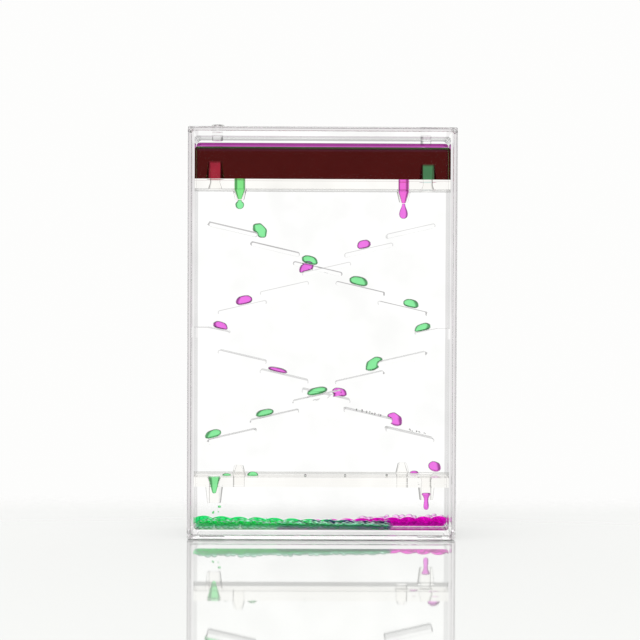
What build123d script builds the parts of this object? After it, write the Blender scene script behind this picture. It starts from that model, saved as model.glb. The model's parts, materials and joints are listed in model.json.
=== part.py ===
from build123d import *
import os
from math import atan2, cos, degrees, hypot, radians, sin

# Liquid motion timer, in millimetres.
# X is the width, the front faces -Y, Z is up and the origin is the middle of the underside.
# The rear compartment is the front one turned half way round about Z, so a place in it is
# worked out for the front and then turned by the side value: 1 at the front, -1 at the rear.

# Outer case of two bonded half shells
case_width = 90.0
case_depth = 32.0
case_height = 138.0
case_wall = 1.2
case_edge_radius = 0.6
tongue_thickness = 0.45
tongue_height = 0.8
groove_clearance = 0.06
pad_length = 8.5
pad_depth = 6.0
pad_inset = 7.6

# Sealed tank inside the case
side_air_gap = 0.15
end_air_gap = 0.3
tank_side_wall = 0.8
tank_end_wall = 1.5
tank_face_wall = 1.6
divider_thickness = 1.5
tank_corner_radius = 0.8
pocket_corner_radius = 1.2

# Ramps moulded into the tank, five above and five below the turning ledge
ramp_count = 5
ramp_overlap = 2.65
ramp_thickness = 1.5
ramp_tilt_share = 0.5
first_ramp_inset = 12.6
last_ramp_inset = 15.7
first_ramp_drop = 13.5
last_ramp_rise = 8.5
ledge_reach = 11.35
ledge_root_length = 3.85
ledge_half_height = 1.8
ledge_tip_half_height = 0.3
rib_gap = 0.05

# Baffles with a dripping nozzle and a return tube
baffle_thickness = 3.2
end_chamber_share = 0.1044
baffle_gap = 0.05
nozzle_inset = 14.95
nozzle_reach = 3.7
nozzle_root_radius = 2.4
nozzle_tip_radius = 1.5
nozzle_bore_radius = 1.95
nozzle_outlet_radius = 0.8
return_inset = 6.65
return_reach_share = 0.41
return_root_radius = 3.0
return_tip_radius = 2.3
return_mouth_radius = 2.45
return_bore_radius = 1.7
return_mouth_depth = 2.2
tube_rim_chamfer = 0.2

# Filling stoppers in the top wall
stopper_inset = 7.45
stopper_stem_radius = 1.85
stopper_head_radius = 2.15
stopper_head_height = 1.2
stopper_reach = 1.4
stopper_edge = 0.2
stopper_gap = 0.05

# Coloured liquids
film = 0.06
drop_gap = 0.15
lane_gap = 0.3
green_headroom = 3.5
pink_headroom = 1.4
meniscus_radius = 1.2
drop_length = 6.6
drop_height = 3.1
pendant_radius = 1.55
green_pendant_length = 3.2
green_neck_rise = 0.3
pink_pendant_length = 5.2
pink_neck_rise = -0.3
neck_radius = 0.6
neck_gap = 0.12
green_settled_share = 0.257
green_settled_reach_share = 0.768
pink_settled_share = 0.243
pink_settled_reach_share = 0.675
settled_thin_share = 0.5
settled_dip_share = 0.8
settled_lumps = 11
slug_length = 6.0
slug_tip_radius = 0.8
falling_length = 4.9
falling_height = 3.5
falling_inset = 3.75
falling_clear = 0.6
falling_travel = 0.4
drain_radius = 1.2
drain_tip_radius = 0.95
drain_waist_radius = 0.8
drain_length_share = 0.417
drain_hang_share = 0.58
drain_travel = 0.9
puddle_length = 3.2
puddle_height = 0.9
puddle_gap = 0.1
bead_length = 4.0
bead_height = 1.5
bead_inset = 19.65
green_pendant_travel = 6.0
pink_pendant_travel = 3.4

# Steps of the curves
half_turn = 180
oval_step = 45

# Sizes that follow
mid_height = case_height / 2
tank_half_width = case_width / 2 - case_wall - side_air_gap
pocket_half_width = tank_half_width - tank_side_wall
tank_low = case_wall + end_air_gap
tank_height = case_height - 2 * tank_low
pocket_low = tank_low + tank_end_wall
pocket_height = tank_height - 2 * tank_end_wall
tank_face_y = case_depth / 2 - case_wall - side_air_gap
pocket_face_y = tank_face_y - tank_face_wall
divider_face_y = divider_thickness / 2
pocket_depth = pocket_face_y - divider_face_y
lane_y = (pocket_face_y + divider_face_y) / 2
end_chamber_height = end_chamber_share * case_height
lower_baffle_low = pocket_low + end_chamber_height
lower_baffle_top = lower_baffle_low + baffle_thickness
upper_baffle_low = case_height - lower_baffle_top
upper_baffle_top = case_height - lower_baffle_low
first_ramp_x = first_ramp_inset - pocket_half_width
first_ramp_rise = upper_baffle_low - mid_height - first_ramp_drop
ramp_pitch = (2 * pocket_half_width - first_ramp_inset - last_ramp_inset) / (ramp_count - 1)
ramp_fall = (first_ramp_rise - last_ramp_rise) / (ramp_count - 1)
ramp_length = ramp_pitch + ramp_overlap
ramp_tilt = degrees(atan2(ramp_tilt_share * ramp_fall, ramp_pitch))
ledge_apex_x = pocket_half_width - ledge_reach
ledge_shoulder_x = pocket_half_width - ledge_root_length
ledge_slope = degrees(atan2(ledge_half_height, ledge_shoulder_x - ledge_apex_x))
nozzle_x = nozzle_inset - pocket_half_width
return_x = return_inset - pocket_half_width
return_reach = return_reach_share * end_chamber_height
stopper_x = stopper_inset - pocket_half_width
falling_x = falling_inset - pocket_half_width
bead_x = bead_inset - pocket_half_width
green_level = pocket_low + pocket_height - green_headroom
pink_level = pocket_low + pocket_height - pink_headroom
green_settled_height = green_settled_share * end_chamber_height
green_settled_end = (2 * green_settled_reach_share - 1) * pocket_half_width
pink_settled_height = pink_settled_share * end_chamber_height
pink_settled_end = (2 * pink_settled_reach_share - 1) * pocket_half_width
drain_length = drain_length_share * end_chamber_height

# Each drop on a ramp has a name, the arm of its ramp (1 above the ledge, -1 below, 0 for the ledge),
# the ramp's step from the first, the degrees by which its nose is down from the ramp's slope,
# how far downhill of the ramp's middle and how far above it its own middle is, its length,
# its height, and its travel downhill. Length and height are shares of drop_length and
# drop_height, and the other sizes are shares of the ramp's length.
green_run_shares = [
    ("green_drop_1", 1, 0, 32.0, 0.530, 0.100, 0.90, 1.28, 0.14),
    ("green_drop_2", 1, 2, 4.0, -0.190, 0.128, 0.92, 1.02, 0.44),
    ("green_drop_3", 1, 3, 0.0, -0.060, 0.132, 1.04, 1.10, 0.31),
    ("green_drop_4", 1, 4, 0.0, 0.144, 0.126, 0.88, 1.00, 0.17),
    ("green_drop_5", 0, 0, 8.0, -0.165, 0.070, 0.94, 1.03, 0.11),
    ("green_drop_6", -1, 4, 20.0, 0.570, 0.022, 1.04, 1.24, 0.14),
    ("green_drop_7", -1, 2, 0.0, -0.028, 0.118, 1.15, 0.92, 0.27),
    ("green_drop_8", -1, 1, 0.0, 0.174, 0.114, 1.02, 0.86, 0.11),
    ("green_drop_9", -1, 0, 6.0, 0.358, 0.118, 0.94, 0.98, 0.07),
]
pink_run_shares = [
    ("pink_drop_1", 1, 1, 0.0, 0.064, 0.128, 0.79, 1.06, 0.25),
    ("pink_drop_2", 1, 2, 10.0, 0.394, 0.112, 0.86, 1.10, 0.11),
    ("pink_drop_3", 1, 4, 0.0, -0.056, 0.130, 0.95, 1.10, 0.32),
    ("pink_drop_4", 0, 0, 6.0, -0.215, 0.072, 0.86, 1.00, 0.13),
    ("pink_drop_5", -1, 3, 0.0, -0.158, 0.092, 1.12, 0.62, 0.38),
    ("pink_drop_6", -1, 2, 0.0, 0.252, 0.126, 0.86, 1.00, 0.07),
    ("pink_drop_7", -1, 1, 22.0, 0.556, 0.036, 0.91, 1.30, 0.14),
]


def upright(x, y):
    """Give an upright plane facing the front, with its origin at floor height at x, y."""
    return Plane(origin=(x, y, 0), x_dir=(1, 0, 0), z_dir=(0, -1, 0))


def oval_points(length, height, middle=0, start=0):
    """Give points up the right half of an oval, from a turn of start degrees from its lowest point."""
    turns = [radians(turn) for turn in range(start, half_turn + oval_step, oval_step)]
    return [(length / 2 * sin(turn), middle - height / 2 * cos(turn)) for turn in turns]


def save(piece, name):
    """Label a finished piece and write it."""
    piece.part.label = name
    export_step(piece.part, f"parts/{name}.step")


def turned(source):
    """Give the rear twin of a front piece: the same piece turned half way round about Z."""
    with BuildPart() as twin:
        add(source.part, rotation=(0, 0, 180))
    return twin


def ramp_place(side, arm, step):
    """Give the x and z of a ramp's middle, its slope in degrees and its downhill sign."""
    x = side * (first_ramp_x + step * ramp_pitch)
    z = mid_height + arm * (first_ramp_rise - step * ramp_fall)
    return x, z, -side * arm * ramp_tilt, side * arm


def drop_place(side, arm, step):
    """Give the place a drop is measured from: its ramp's middle, or the ledge's tip for arm 0."""
    if arm:
        return ramp_place(side, arm, step)
    return side * ledge_apex_x, mid_height, side * ledge_slope, -side


def draw_ramps(side, margin, mode=Mode.ADD, outline=SlotOverall):
    """Draw every ramp of one compartment with the given outline, each grown by a margin all round."""
    for arm in (1, -1):
        for step in range(ramp_count):
            x, z, slope, _ = ramp_place(side, arm, step)
            with Locations((x, z)):
                outline(ramp_length + 2 * margin, ramp_thickness + 2 * margin, rotation=slope, mode=mode)


def draw_ledge(side, margin, mode=Mode.ADD):
    """Draw the turning ledge on the side wall, grown by a margin."""
    outline = [
        (side * pocket_half_width, mid_height + ledge_half_height + margin),
        (side * ledge_shoulder_x, mid_height + ledge_half_height + margin),
        (side * (ledge_apex_x - margin), mid_height + ledge_tip_half_height + margin),
        (side * (ledge_apex_x - margin), mid_height - ledge_tip_half_height - margin),
        (side * ledge_shoulder_x, mid_height - ledge_half_height - margin),
        (side * pocket_half_width, mid_height - ledge_half_height - margin),
    ]
    Polygon(*outline, align=None, mode=mode)


def half_shell(extra_height):
    """Make the front half of the case: five walls with pads for the tank and a stopper hole.

    A ring along the seam rises by extra_height: the tongue when it is positive, else the groove.
    """
    ring_inset = (case_wall - tongue_thickness) / 2
    ring_margin = 0 if extra_height > 0 else groove_clearance
    with BuildPart() as shell:
        with BuildSketch(Plane.XZ):
            with Locations((0, mid_height)):
                Rectangle(case_width, case_height)
        extrude(amount=case_depth / 2)
        outer_edges = shell.edges().filter_by(Axis.Y) + shell.faces().sort_by(Axis.Y)[0].edges()
        fillet(outer_edges, case_edge_radius)
        with BuildSketch(Plane.XZ):
            with Locations((0, mid_height)):
                Rectangle(case_width - 2 * case_wall, case_height - 2 * case_wall)
        extrude(amount=case_depth / 2 - case_wall, mode=Mode.SUBTRACT)
        pad_x = case_width / 2 - pad_inset
        for pad_low in (case_wall, case_height - case_wall - end_air_gap):
            with BuildSketch(Plane.XY.offset(pad_low)):
                with Locations((pad_x, -lane_y), (-pad_x, -lane_y)):
                    Rectangle(pad_length, pad_depth)
            extrude(amount=end_air_gap)
        with BuildSketch(Plane.XY.offset(case_height - case_wall - end_air_gap)):
            with Locations((stopper_x, -lane_y)):
                Circle(stopper_stem_radius + stopper_gap)
        extrude(amount=case_wall + end_air_gap, mode=Mode.SUBTRACT)
        with BuildSketch(Plane.XZ):
            with Locations((0, mid_height)):
                Rectangle(case_width - 2 * ring_inset + 2 * ring_margin,
                          case_height - 2 * ring_inset + 2 * ring_margin)
                Rectangle(case_width - 2 * ring_inset - 2 * tongue_thickness - 2 * ring_margin,
                          case_height - 2 * ring_inset - 2 * tongue_thickness - 2 * ring_margin,
                          mode=Mode.SUBTRACT)
        extrude(amount=-extra_height, mode=Mode.ADD if extra_height > 0 else Mode.SUBTRACT)
    return shell


os.makedirs("parts", exist_ok=True)

# Case shells: the front one carries the tongue, the rear one the groove
case_front_shell = half_shell(tongue_height)
save(case_front_shell, "case_front_shell")
case_rear_shell = turned(half_shell(-tongue_height - groove_clearance))
save(case_rear_shell, "case_rear_shell")

# Tank tray with its ramps and turning ledge moulded on the inside of the face
with BuildPart() as tank_front_tray:
    with BuildSketch(Plane.XZ.offset(divider_face_y)):
        with Locations((0, tank_low + tank_height / 2)):
            RectangleRounded(2 * tank_half_width, tank_height, tank_corner_radius)
    extrude(amount=tank_face_y - divider_face_y)
    with BuildSketch(Plane.XZ.offset(divider_face_y)):
        with Locations((0, mid_height)):
            RectangleRounded(2 * pocket_half_width, pocket_height, pocket_corner_radius)
    extrude(amount=pocket_depth, mode=Mode.SUBTRACT)
    with BuildSketch(Plane.XZ.offset(divider_face_y + rib_gap)):
        draw_ramps(1, 0)
        draw_ledge(1, 0)
    extrude(amount=pocket_depth - rib_gap)
    with BuildSketch(Plane.XY.offset(pocket_low + pocket_height)):
        with Locations((stopper_x, -lane_y)):
            Circle(stopper_stem_radius + stopper_gap)
    extrude(amount=tank_end_wall, mode=Mode.SUBTRACT)
save(tank_front_tray, "tank_front_tray")
save(turned(tank_front_tray), "tank_rear_tray")

# Divider bonded between the two trays
with BuildPart() as centre_divider:
    with BuildSketch(Plane.XZ.offset(-divider_face_y)):
        with Locations((0, tank_low + tank_height / 2)):
            RectangleRounded(2 * tank_half_width, tank_height, tank_corner_radius)
    extrude(amount=divider_thickness)
save(centre_divider, "centre_divider")

# Upper baffle: a plate with the nozzle below it and the return tube above it
nozzle_axis = Axis((nozzle_x, -lane_y, 0), (0, 0, 1))
return_axis = Axis((return_x, -lane_y, 0), (0, 0, 1))
nozzle_tip_z = upper_baffle_low - nozzle_reach
return_top_z = upper_baffle_top + return_reach
with BuildPart() as front_upper_baffle:
    with BuildSketch(Plane.XY.offset(upper_baffle_low)):
        with Locations((0, -lane_y)):
            Rectangle(2 * (pocket_half_width - baffle_gap), pocket_depth - 2 * baffle_gap)
    extrude(amount=baffle_thickness)
    with BuildSketch(upright(nozzle_x, -lane_y)):
        with BuildLine():
            Polyline(
                (0, upper_baffle_low + baffle_thickness / 2),
                (nozzle_root_radius, upper_baffle_low + baffle_thickness / 2),
                (nozzle_root_radius, upper_baffle_low),
                (nozzle_tip_radius, nozzle_tip_z),
                (0, nozzle_tip_z),
                close=True,
            )
        make_face()
    revolve(axis=nozzle_axis)
    with BuildSketch(upright(return_x, -lane_y)):
        with BuildLine():
            Polyline(
                (0, upper_baffle_top - baffle_thickness / 2),
                (return_root_radius, upper_baffle_top - baffle_thickness / 2),
                (return_root_radius, upper_baffle_top),
                (return_tip_radius, return_top_z),
                (0, return_top_z),
                close=True,
            )
        make_face()
    revolve(axis=return_axis)
    rims = front_upper_baffle.edges().filter_by(GeomType.CIRCLE)
    chamfer([rims.sort_by(Axis.Z)[0], rims.sort_by(Axis.Z)[-1]], tube_rim_chamfer)
    with BuildSketch(upright(nozzle_x, -lane_y)):
        with BuildLine():
            Polyline(
                (0, upper_baffle_top),
                (nozzle_bore_radius, upper_baffle_top),
                (nozzle_bore_radius, upper_baffle_low),
                (nozzle_outlet_radius, nozzle_tip_z),
                (0, nozzle_tip_z),
                close=True,
            )
        make_face()
    revolve(axis=nozzle_axis, mode=Mode.SUBTRACT)
    with BuildSketch(upright(return_x, -lane_y)):
        with BuildLine():
            Polyline(
                (0, upper_baffle_low),
                (return_mouth_radius, upper_baffle_low),
                (return_bore_radius, upper_baffle_low + return_mouth_depth),
                (return_bore_radius, return_top_z),
                (0, return_top_z),
                close=True,
            )
        make_face()
    revolve(axis=return_axis, mode=Mode.SUBTRACT)
save(front_upper_baffle, "front_upper_baffle")
save(turned(front_upper_baffle), "rear_upper_baffle")

# Lower baffle: the upper one mirrored about half height
with BuildPart() as front_lower_baffle:
    mirror(front_upper_baffle.part, about=Plane.XY.offset(mid_height))
save(front_lower_baffle, "front_lower_baffle")
save(turned(front_lower_baffle), "rear_lower_baffle")

# Filling stopper with a low domed head
with BuildPart() as front_fill_stopper:
    with BuildSketch(Plane.XY.offset(case_height)):
        with Locations((stopper_x, -lane_y)):
            Circle(stopper_head_radius)
    extrude(amount=stopper_head_height)
    fillet(front_fill_stopper.edges().sort_by(Axis.Z)[-1], stopper_edge)
    with BuildSketch(Plane.XY.offset(case_height)):
        with Locations((stopper_x, -lane_y)):
            Circle(stopper_stem_radius)
    extrude(amount=-(case_wall + end_air_gap + tank_end_wall + stopper_reach))
    chamfer(front_fill_stopper.edges().sort_by(Axis.Z)[0], stopper_edge)
save(front_fill_stopper, "front_fill_stopper")
save(turned(front_fill_stopper), "rear_fill_stopper")


def reservoir(side, level, neck_z):
    """Make one coloured pool above its baffle with the stream that fills the nozzle."""
    with BuildPart() as pool:
        with BuildSketch(Plane.XY.offset(upper_baffle_top + film)):
            with Locations((0, -side * lane_y)):
                Rectangle(2 * (pocket_half_width - film), pocket_depth - 2 * film)
        extrude(amount=level - upper_baffle_top - film)
        fillet(pool.faces().sort_by(Axis.Z)[-1].edges(), meniscus_radius)
        with BuildSketch(Plane.XY.offset(upper_baffle_top)):
            with Locations((side * return_x, -side * lane_y)):
                Circle(return_root_radius + film)
        with BuildSketch(Plane.XY.offset(return_top_z + film)):
            with Locations((side * return_x, -side * lane_y)):
                Circle(return_tip_radius + film)
        loft(mode=Mode.SUBTRACT)
        with BuildSketch(Plane.XY.offset(pocket_low + pocket_height - stopper_reach - film)):
            with Locations((side * stopper_x, -side * lane_y)):
                Circle(stopper_stem_radius + film)
        extrude(amount=stopper_reach, mode=Mode.SUBTRACT)
        with BuildSketch(upright(side * nozzle_x, -side * lane_y)):
            with BuildLine():
                Polyline(
                    (0, upper_baffle_top + 2 * film),
                    (nozzle_bore_radius - film, upper_baffle_top + 2 * film),
                    (nozzle_bore_radius - film, upper_baffle_low),
                    (neck_radius, neck_z),
                    (0, neck_z),
                    close=True,
                )
            make_face()
        revolve(axis=Axis((side * nozzle_x, -side * lane_y, 0), (0, 0, 1)))
    return pool


green_neck_z = nozzle_tip_z + green_neck_rise
pink_neck_z = nozzle_tip_z + pink_neck_rise
save(reservoir(1, green_level, green_neck_z), "green_reservoir")
save(reservoir(-1, pink_level, pink_neck_z), "pink_reservoir")


def pendant_drop(side, neck_z, length):
    """Make the drop that hangs below a nozzle: a narrow neck that swells to a round end."""
    low = neck_z - neck_gap - length
    with BuildPart() as drop:
        with BuildSketch(upright(side * nozzle_x, -side * lane_y)):
            with BuildLine():
                RadiusArc((0, low), (pendant_radius, low + pendant_radius), -pendant_radius)
                Spline(
                    (pendant_radius, low + pendant_radius),
                    (neck_radius, neck_z - neck_gap),
                    tangents=((0, 1), (0, 1)),
                )
                Line((neck_radius, neck_z - neck_gap), (0, neck_z - neck_gap))
                Line((0, neck_z - neck_gap), (0, low))
            make_face()
        revolve(axis=Axis((side * nozzle_x, -side * lane_y, 0), (0, 0, 1)))
    return drop


save(pendant_drop(1, green_neck_z, green_pendant_length), "green_pendant_drop")
save(pendant_drop(-1, pink_neck_z, pink_pendant_length), "pink_pendant_drop")


def run_place(side, entry):
    """Give a run drop's middle x and z, its tilt, its length and height, and its downhill direction."""
    arm, step, turn, along, above, length, height = entry[1:-1]
    x, z, slope, downhill = drop_place(side, arm, step)
    run = (cos(radians(slope)), sin(radians(slope)))
    x = x + ramp_length * (downhill * along * run[0] - above * run[1])
    z = z + ramp_length * (downhill * along * run[1] + above * run[0])
    tilt = slope - downhill * turn
    return x, z, tilt, length * drop_length, height * drop_height, (downhill * run[0], downhill * run[1])


def run_drop(side, entry):
    """Make a drop on its ramp: a flattened round body with the ramps' clearance cut from it."""
    x, z, tilt, length, height, _ = run_place(side, entry)
    across = (cos(radians(tilt)), sin(radians(tilt)))
    middle = (x, -side * lane_y, z)
    with BuildPart() as drop:
        for facing in (-1, 1):
            with BuildSketch(Plane(origin=middle, x_dir=(0, facing, 0),
                                   z_dir=(facing * across[0], 0, facing * across[1]))):
                with BuildLine():
                    side_curve = Spline(*oval_points(length, height), tangents=((1, 0), (-1, 0)))
                    Line(side_curve @ 1, side_curve @ 0)
                make_face()
            revolve(axis=Axis(middle, (-across[1], 0, across[0])), revolution_arc=half_turn, clean=False)
        with BuildSketch(Plane.XZ.offset(side * lane_y)):
            draw_ramps(side, drop_gap)
            draw_ledge(side, drop_gap)
        extrude(amount=drop_length, both=True, mode=Mode.SUBTRACT, clean=False)
    return drop


def report_travel(name, direction, travel):
    """Print how far and which way a drop runs, for the joints."""
    print(f"travel {name} {direction[0]:.6f} {direction[1]:.6f} {travel:.4f}")


for side, entries in ((1, green_run_shares), (-1, pink_run_shares)):
    for entry in entries:
        save(run_drop(side, entry), entry[0])
        report_travel(entry[0], run_place(side, entry)[5], entry[-1] * ramp_length)
report_travel("green_pendant_drop", (0, -1), green_pendant_travel)
report_travel("pink_pendant_drop", (0, -1), pink_pendant_travel)

# Drop falling on the lower baffle at the rear
falling_z = lower_baffle_top + falling_clear + falling_height / 2
with BuildPart() as pink_falling_drop:
    with BuildSketch(upright(-falling_x, lane_y)):
        with BuildLine():
            side_curve = Spline(*oval_points(falling_length, falling_height, falling_z),
                                tangents=((1, 0), (-1, 0)))
            Line(side_curve @ 1, side_curve @ 0)
        make_face()
    revolve(axis=Axis((-falling_x, lane_y, 0), (0, 0, 1)))
save(pink_falling_drop, "pink_falling_drop")
report_travel("pink_falling_drop", (0, -1), falling_travel)

# Long drop leaving the rear return tube
drain_tip_z = lower_baffle_low - return_reach
drain_low = drain_tip_z - drain_hang_share * drain_length
with BuildPart() as pink_drain_drop:
    with BuildSketch(upright(-return_x, lane_y)):
        with BuildLine():
            side_curve = Spline(
                (0, drain_low),
                (drain_tip_radius, drain_low + drain_tip_radius),
                (drain_waist_radius, drain_low + drain_length / 2),
                (drain_radius, drain_low + drain_length - drain_radius),
                (0, drain_low + drain_length),
                tangents=((1, 0), (-1, 0)),
            )
            Line(side_curve @ 1, side_curve @ 0)
        make_face()
    revolve(axis=Axis((-return_x, lane_y, 0), (0, 0, 1)))
save(pink_drain_drop, "pink_drain_drop")
report_travel("pink_drain_drop", (0, -1), drain_travel)

# Slug of green caught in the front return tube
slug_radius = return_bore_radius - film
slug_top = lower_baffle_top
with BuildPart() as green_drain_slug:
    with BuildSketch(upright(return_x, -lane_y)):
        with BuildLine():
            Line((0, slug_top), (return_mouth_radius - 2 * film, slug_top))
            Line((return_mouth_radius - 2 * film, slug_top), (slug_radius, slug_top - return_mouth_depth))
            Line((slug_radius, slug_top - return_mouth_depth),
                 (slug_tip_radius, slug_top - slug_length + slug_tip_radius))
            RadiusArc(
                (slug_tip_radius, slug_top - slug_length + slug_tip_radius),
                (0, slug_top - slug_length),
                slug_tip_radius,
            )
            Line((0, slug_top - slug_length), (0, slug_top))
        make_face()
    revolve(axis=return_axis)
save(green_drain_slug, "green_drain_slug")


def flat_drop(side, x, length, height):
    """Make a drop that lies spread on the lower baffle."""
    with BuildPart() as drop:
        with BuildSketch(upright(side * x, -side * lane_y)):
            with BuildLine():
                low = lower_baffle_top + puddle_gap
                side_curve = Spline(*oval_points(length, 2 * height, low, half_turn // 2),
                                    tangents=((0, 1), (-1, 0)))
                Polyline(side_curve @ 1, (0, low), side_curve @ 0)
            make_face()
        revolve(axis=Axis((side * x, -side * lane_y, 0), (0, 0, 1)))
    return drop


puddle_x = (return_x + return_mouth_radius + nozzle_x - nozzle_root_radius) / 2
save(flat_drop(1, puddle_x, puddle_length, puddle_height), "green_puddle")
save(flat_drop(-1, puddle_x, puddle_length, puddle_height), "pink_puddle")
save(flat_drop(1, bead_x, bead_length, bead_height), "green_bead")


def settled(side, end_x, height):
    """Make a settled heap of merged drops on the tank floor, high at the wall and thin at its end."""
    start_x = -(pocket_half_width - film)
    low = pocket_low + film
    pitch = (end_x - start_x) / settled_lumps
    tops = [height * (1 - (1 - settled_thin_share) * n / settled_lumps) for n in range(settled_lumps + 1)]
    with BuildPart() as heap:
        with BuildSketch(Plane.XZ.offset(side * lane_y)):
            with BuildLine():
                for n in range(settled_lumps):
                    left = start_x + n * pitch
                    ThreePointArc(
                        (side * left, low + tops[n] * settled_dip_share),
                        (side * (left + pitch / 2), low + tops[n]),
                        (side * (left + pitch), low + tops[n + 1] * settled_dip_share),
                    )
                Polyline(
                    (side * end_x, low + tops[-1] * settled_dip_share),
                    (side * end_x, low),
                    (side * (start_x + pocket_corner_radius), low),
                    (side * start_x, low + pocket_corner_radius),
                    (side * start_x, low + tops[0] * settled_dip_share),
                )
            make_face()
        extrude(amount=pocket_depth / 2 - film, both=True)
    return heap


save(settled(1, green_settled_end, green_settled_height), "green_settled")
save(settled(-1, pink_settled_end, pink_settled_height), "pink_settled")


def draw_run_lanes(side, entries):
    """Draw the clear way that each run drop sweeps."""
    for entry in entries:
        x, z, tilt, length, height, direction = run_place(side, entry)
        slope = degrees(atan2(direction[1], direction[0]))
        turn = radians(tilt - slope)
        travel = entry[-1] * ramp_length
        half_run = hypot(length / 2 * cos(turn), height / 2 * sin(turn))
        half_rise = hypot(length / 2 * sin(turn), height / 2 * cos(turn))
        with Locations((x + direction[0] * travel / 2, z + direction[1] * travel / 2)):
            Rectangle(2 * half_run + travel + 2 * lane_gap, 2 * half_rise + 2 * lane_gap,
                      rotation=slope, mode=Mode.SUBTRACT)


def draw_upright_lane(x, low, high, half_width):
    """Draw a clear upright way between two heights."""
    with Locations((x, (low + high) / 2)):
        Rectangle(2 * (half_width + lane_gap), high - low + 2 * lane_gap, mode=Mode.SUBTRACT)


def clear_liquid(side, entries, level, heap_height, pendant_low, pendant_travel):
    """Make the clear liquid round the coloured drops: above the pool, between and below the baffles."""
    with BuildPart() as liquid:
        with BuildSketch(Plane.XZ.offset(side * lane_y)):
            with Locations((0, mid_height)):
                Rectangle(2 * (pocket_half_width - film), upper_baffle_low - lower_baffle_top - 2 * film)
            draw_ramps(side, film, Mode.SUBTRACT, Rectangle)
            draw_ledge(side, film, Mode.SUBTRACT)
            draw_run_lanes(side, entries)
            draw_upright_lane(side * nozzle_x, pendant_low - pendant_travel, upper_baffle_low,
                              nozzle_root_radius)
            draw_upright_lane(side * nozzle_x, lower_baffle_top, lower_baffle_top + nozzle_reach,
                              nozzle_root_radius)
            draw_upright_lane(side * falling_x, lower_baffle_top, falling_z + falling_height / 2,
                              falling_length / 2)
            draw_upright_lane(side * puddle_x, lower_baffle_top, lower_baffle_top + puddle_height,
                              puddle_length / 2)
            draw_upright_lane(side * bead_x, lower_baffle_top, lower_baffle_top + bead_height,
                              bead_length / 2)
        extrude(amount=pocket_depth / 2 - film, both=True)
        with BuildSketch(Plane.XY.offset(level + film)):
            with Locations((0, -side * lane_y)):
                Rectangle(2 * (pocket_half_width - pocket_corner_radius), pocket_depth - 2 * film)
        extrude(amount=pocket_low + pocket_height - level - 2 * film)
        with BuildSketch(Plane.XY.offset(pocket_low + heap_height + 2 * film)):
            with Locations((0, -side * lane_y)):
                Rectangle(2 * (pocket_half_width - film), pocket_depth - 2 * film)
        extrude(amount=lower_baffle_low - pocket_low - heap_height - 3 * film)
        with BuildSketch(Plane.XY.offset(level)):
            with Locations((side * stopper_x, -side * lane_y)):
                Circle(stopper_stem_radius + film)
        extrude(amount=case_height - level, mode=Mode.SUBTRACT)
        with BuildSketch(Plane.XY.offset(drain_low - drain_travel - lane_gap)):
            with Locations((side * return_x, -side * lane_y)):
                Circle(return_root_radius + film)
        extrude(amount=lower_baffle_low - drain_low + drain_travel + lane_gap, mode=Mode.SUBTRACT)
    return liquid


green_pendant_low = green_neck_z - neck_gap - green_pendant_length
pink_pendant_low = pink_neck_z - neck_gap - pink_pendant_length
save(
    clear_liquid(1, green_run_shares, green_level, green_settled_height, green_pendant_low,
                 green_pendant_travel),
    "front_clear_liquid",
)
save(
    clear_liquid(-1, pink_run_shares, pink_level, pink_settled_height, pink_pendant_low,
                 pink_pendant_travel),
    "rear_clear_liquid",
)
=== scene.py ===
"""Looks of a liquid motion timer: a clear case and tank in which dyed drops run down ramps in clear oil."""
import json
import logging
import math
from collections.abc import Callable
from dataclasses import dataclass
from enum import Enum

import bmesh
import bpy
from mathutils import Euler, Matrix, Vector


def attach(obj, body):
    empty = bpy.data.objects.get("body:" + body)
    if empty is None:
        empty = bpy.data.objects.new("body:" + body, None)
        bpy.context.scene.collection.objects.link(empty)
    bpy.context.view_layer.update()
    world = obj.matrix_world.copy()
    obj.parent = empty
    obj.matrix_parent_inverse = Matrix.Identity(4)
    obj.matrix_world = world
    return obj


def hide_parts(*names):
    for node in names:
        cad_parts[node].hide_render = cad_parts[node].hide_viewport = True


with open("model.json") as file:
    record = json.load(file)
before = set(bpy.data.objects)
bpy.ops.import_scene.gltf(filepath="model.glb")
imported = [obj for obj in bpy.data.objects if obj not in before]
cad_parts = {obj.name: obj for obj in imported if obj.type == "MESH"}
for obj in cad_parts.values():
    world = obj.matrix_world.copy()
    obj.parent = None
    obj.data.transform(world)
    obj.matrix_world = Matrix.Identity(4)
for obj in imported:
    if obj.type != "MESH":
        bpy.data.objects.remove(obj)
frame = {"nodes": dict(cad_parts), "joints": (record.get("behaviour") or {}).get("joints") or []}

Colour = tuple[float, float, float]
Point = tuple[float, float, float]
Value = float | bpy.types.NodeSocket
Sockets = tuple[tuple[str, str], ...]

log = logging.getLogger("liquid_timer")

MM = 0.001
TIMER_BODY = "timer"
PLASTIC_IN_AIR = 1.49
PLASTIC_IN_OIL = 1.05
THIN_PLASTIC_IN_OIL = 1.025
WATER_IN_OIL = 0.955
AIR_IN_OIL = 0.69
SAME_IN_OIL = 1.0
POLISHED = 0.0
EVEN_SLANT = 0.5
WHITE = (1.0, 1.0, 1.0)
SAME_PLANE = math.cos(math.radians(0.05))
FLAT_WIDTH = 0.2 * MM
MERGE_REACH = 0.0005 * MM
CUT_SLACK = 0.0001 * MM
BALL_SUBDIVISIONS = 2
ROUND_PROFILE = 0.5
FACING = 0.9
# Outline of the pockets, beyond which the case's open face is painted grey: painted shade for the grey bands
# at its walls and top.
EDGE_SHADE_HALF_WIDTH = 42.8 * MM
EDGE_SHADE_TOP = 136.7 * MM
EDGE_SHADE_SOFTNESS = 0.2 * MM


class Side(Enum):
    """The two compartments of the tank; the value is the sign of their Y."""

    FRONT = -1
    REAR = 1


class Dye(Enum):
    """The two dyed liquids."""

    GREEN = "green"
    PINK = "pink"


def rgba(colour: Colour) -> tuple[float, float, float, float]:
    """Give a colour with full opacity."""
    return (*colour, 1.0)


def grey(level: float) -> tuple[float, float, float, float]:
    """Give a grey with full opacity."""
    return rgba((level, level, level))


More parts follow.
